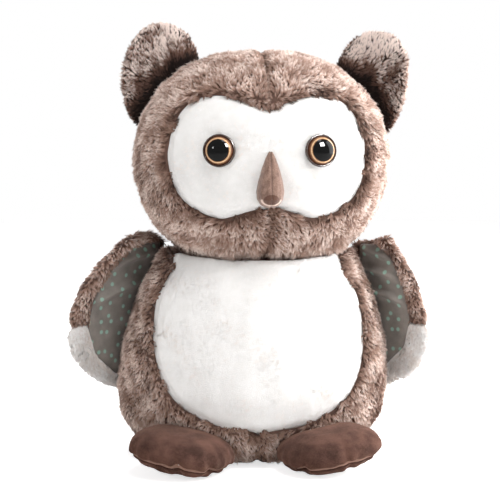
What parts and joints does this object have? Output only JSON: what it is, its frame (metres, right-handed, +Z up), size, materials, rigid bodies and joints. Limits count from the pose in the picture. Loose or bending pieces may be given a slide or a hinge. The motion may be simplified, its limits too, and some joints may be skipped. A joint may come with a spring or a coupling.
{
  "type": "plush owl toy",
  "caption": "Standing stuffed plush owl with a turning head, bending ear flaps, lifting padded wings lined with dotted cotton, flexing velour feet and safety eyes.",
  "frame": {"origin": "centre of the flat underside of the body, on the surface it stands on", "axes": "+Z up, -Y the way the owl faces, +X to the right of someone looking at its face"},
  "size_m": [0.2807, 0.21, 0.3399],
  "materials": {
    "brown_fur": "long pile fur",
    "dark_brown_fur": "long pile fur",
    "white_plush": "short pile plush",
    "grey_lining_cotton": "printed woven cotton with mint dots",
    "foot_velour": "velour",
    "beak_suede": "imitation suede",
    "eye_rim_plastic": "gloss",
    "eye_iris_foil": "metallic copper print",
    "eye_pupil_plastic": "polished",
    "washer_plastic": "moulded",
    "polyester_stuffing": "loose fibre",
    "neck_twill_tape": "woven tape",
    "pellet_bag_cotton": "plain cotton"
  },
  "bodies": {
    "body": {"body_stuffing": "polyester_stuffing", "base_panel": "brown_fur", "belly_panel": "white_plush", "body_front_left_panel": "brown_fur", "body_front_right_panel": "brown_fur", "body_back_left_panel": "brown_fur", "body_back_right_panel": "brown_fur", "pellet_bag": "pellet_bag_cotton"},
    "neck": {"neck_tape": "neck_twill_tape"},
    "head": {"head_stuffing": "polyester_stuffing", "face_panel": "white_plush", "head_front_left_panel": "brown_fur", "head_front_right_panel": "brown_fur", "head_back_left_panel": "brown_fur", "head_back_right_panel": "brown_fur", "beak_left_panel": "beak_suede", "beak_right_panel": "beak_suede", "beak_stuffing": "polyester_stuffing", "eye_left_back": "eye_rim_plastic", "eye_left_iris": "eye_iris_foil", "eye_left_dome": "eye_pupil_plastic", "eye_left_washer": "washer_plastic", "eye_right_back": "eye_rim_plastic", "eye_right_iris": "eye_iris_foil", "eye_right_dome": "eye_pupil_plastic", "eye_right_washer": "washer_plastic"},
    "ear_left": {"ear_left_front": "dark_brown_fur", "ear_left_back": "brown_fur"},
    "ear_right": {"ear_right_front": "dark_brown_fur", "ear_right_back": "brown_fur"},
    "wing_left": {"wing_left_lining": "grey_lining_cotton", "wing_left_outer": "brown_fur", "wing_left_tip": "white_plush", "wing_left_padding": "polyester_stuffing"},
    "wing_right": {"wing_right_lining": "grey_lining_cotton", "wing_right_outer": "brown_fur", "wing_right_tip": "white_plush", "wing_right_padding": "polyester_stuffing"},
    "foot_left": {"foot_left_sole": "foot_velour", "foot_left_upper": "foot_velour", "foot_left_stuffing": "polyester_stuffing"},
    "foot_right": {"foot_right_sole": "foot_velour", "foot_right_upper": "foot_velour", "foot_right_stuffing": "polyester_stuffing"}
  },
  "joints": [
    {"name": "head_turn", "type": "hinge", "parent": "body", "child": "neck", "pos_m": [0.00553, 0, 0.1515], "axis": [0, 0, 1], "range_deg": [-20, 20], "stiffness_Nm_per_rad": 1.5},
    {"name": "head_nod", "type": "hinge", "parent": "neck", "child": "head", "pos_m": [0.00553, 0, 0.1515], "axis": [1, 0, 0], "range_deg": [-6, 6], "stiffness_Nm_per_rad": 3},
    {"name": "ear_left_bend", "type": "hinge", "parent": "head", "child": "ear_left", "pos_m": [-0.06541, 0.004, 0.29285], "axis": [0.6293, 0, 0.7771], "range_deg": [-12, 12], "stiffness_Nm_per_rad": 0.05},
    {"name": "ear_right_bend", "type": "hinge", "parent": "head", "child": "ear_right", "pos_m": [0.08949, 0.004, 0.2856], "axis": [0.5446, 0, -0.8387], "range_deg": [-12, 12], "stiffness_Nm_per_rad": 0.05},
    {"name": "wing_left_lift", "type": "hinge", "parent": "body", "child": "wing_left", "pos_m": [-0.078, 0, 0.166], "axis": [0, 1, 0], "range_deg": [0, 35]},
    {"name": "wing_right_lift", "type": "hinge", "parent": "body", "child": "wing_right", "pos_m": [0.078, 0, 0.166], "axis": [0, -1, 0], "range_deg": [0, 35]},
    {"name": "foot_left_flex", "type": "hinge", "parent": "body", "child": "foot_left", "pos_m": [-0.05364, -0.07153, 0.02], "axis": [-0.891, 0.454, 0], "range_deg": [0, 10]},
    {"name": "foot_right_flex", "type": "hinge", "parent": "body", "child": "foot_right", "pos_m": [0.04864, -0.07153, 0.02], "axis": [-0.891, -0.454, 0], "range_deg": [0, 10]}
  ]
}
